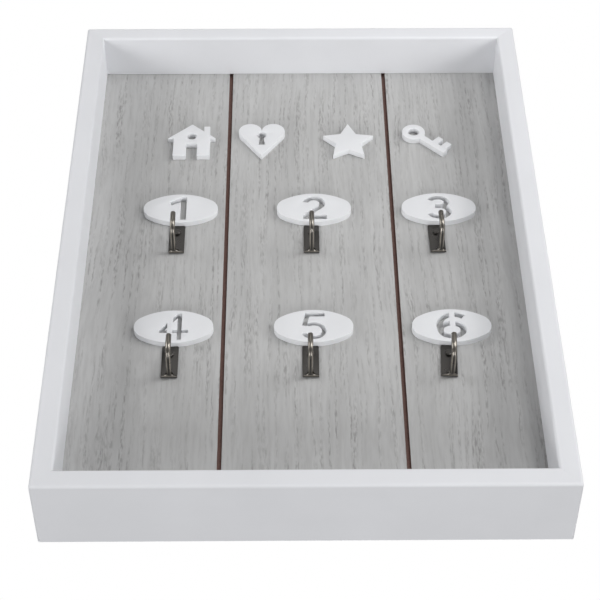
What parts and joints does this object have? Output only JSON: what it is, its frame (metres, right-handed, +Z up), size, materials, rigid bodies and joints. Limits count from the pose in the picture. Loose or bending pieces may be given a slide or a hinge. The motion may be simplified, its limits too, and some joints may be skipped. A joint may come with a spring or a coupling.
{
  "type": "wall key holder",
  "caption": "Shallow white box frame round a grooved grey wood board, with numbered oval plaques, a rolled brass hook under each, and cut-out ornaments above.",
  "frame": {"origin": "hanging point: the middle notch of the hanger, taken to the wall plane", "axes": "+X right seen from the front, +Y into the wall, +Z up"},
  "size_m": [0.22, 0.036, 0.3],
  "materials": {
    "white_paint": "matt white paint on fibreboard",
    "grey_board": "grey-washed open-grained wood",
    "white_plaque": "satin white paint on 3 mm fibreboard",
    "antique_brass": "darkened brass plating",
    "plated_steel": "zinc plated"
  },
  "bodies": {
    "root": {"top_rail": "white_paint", "bottom_rail": "white_paint", "left_rail": "white_paint", "right_rail": "white_paint", "back_panel": "grey_board", "plaque_1": "white_plaque", "plaque_2": "white_plaque", "plaque_3": "white_plaque", "plaque_4": "white_plaque", "plaque_5": "white_plaque", "plaque_6": "white_plaque", "house_ornament": "white_plaque", "heart_ornament": "white_plaque", "star_ornament": "white_plaque", "key_ornament": "white_plaque", "hook_1": "antique_brass", "hook_2": "antique_brass", "hook_3": "antique_brass", "hook_4": "antique_brass", "hook_5": "antique_brass", "hook_6": "antique_brass", "hook_nails": "antique_brass", "hanger": "plated_steel", "hanger_nails": "plated_steel"}
  },
  "joints": []
}
